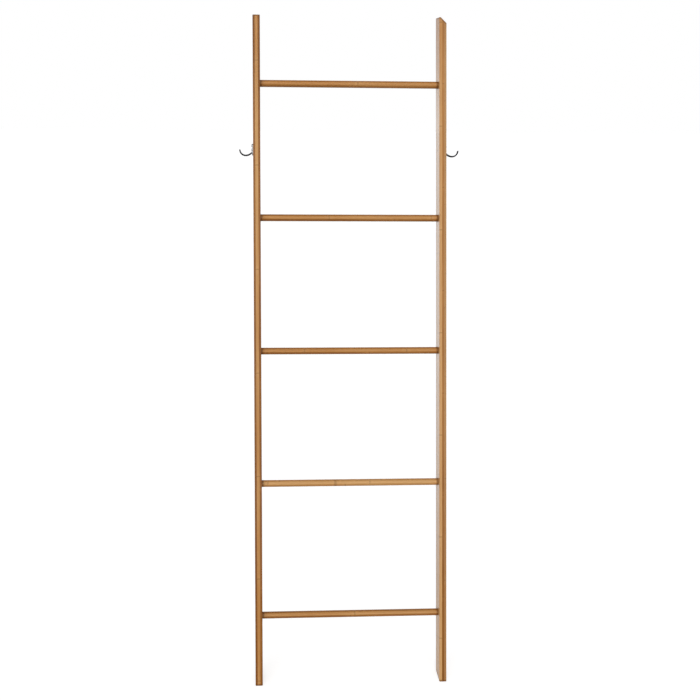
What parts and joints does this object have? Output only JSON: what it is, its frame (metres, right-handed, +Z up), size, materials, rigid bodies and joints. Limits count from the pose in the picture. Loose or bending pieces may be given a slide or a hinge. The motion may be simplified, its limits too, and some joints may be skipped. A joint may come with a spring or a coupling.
{
  "type": "blanket ladder",
  "caption": "Leaning wooden ladder for blankets: two flat rails cut to stand at an angle, round rungs between them and a small J hook on each outer side.",
  "frame": {"origin": "on the floor, in the middle of the ladder's box", "axes": "+Z up, +Y from the ladder's feet back to the wall it leans against, +X to the right for someone who faces it"},
  "size_m": [0.5788, 0.5036, 1.6904],
  "materials": {
    "rail_bamboo": "clear-lacquered laminated bamboo, light and brown strips along the length",
    "rung_bamboo": "clear-lacquered turned bamboo",
    "hook_steel": "satin dark grey",
    "screw_steel": "zinc-plated"
  },
  "bodies": {
    "root": {"rail_left": "rail_bamboo", "rail_right": "rail_bamboo", "rung_1": "rung_bamboo", "rung_2": "rung_bamboo", "rung_3": "rung_bamboo", "rung_4": "rung_bamboo", "rung_5": "rung_bamboo", "rung_screw_left_1": "screw_steel", "rung_screw_left_2": "screw_steel", "rung_screw_left_3": "screw_steel", "rung_screw_left_4": "screw_steel", "rung_screw_left_5": "screw_steel", "hook_left": "hook_steel", "hook_screw_left_upper": "screw_steel", "hook_screw_left_lower": "screw_steel", "rung_screw_right_1": "screw_steel", "rung_screw_right_2": "screw_steel", "rung_screw_right_3": "screw_steel", "rung_screw_right_4": "screw_steel", "rung_screw_right_5": "screw_steel", "hook_right": "hook_steel", "hook_screw_right_upper": "screw_steel", "hook_screw_right_lower": "screw_steel"}
  },
  "joints": []
}
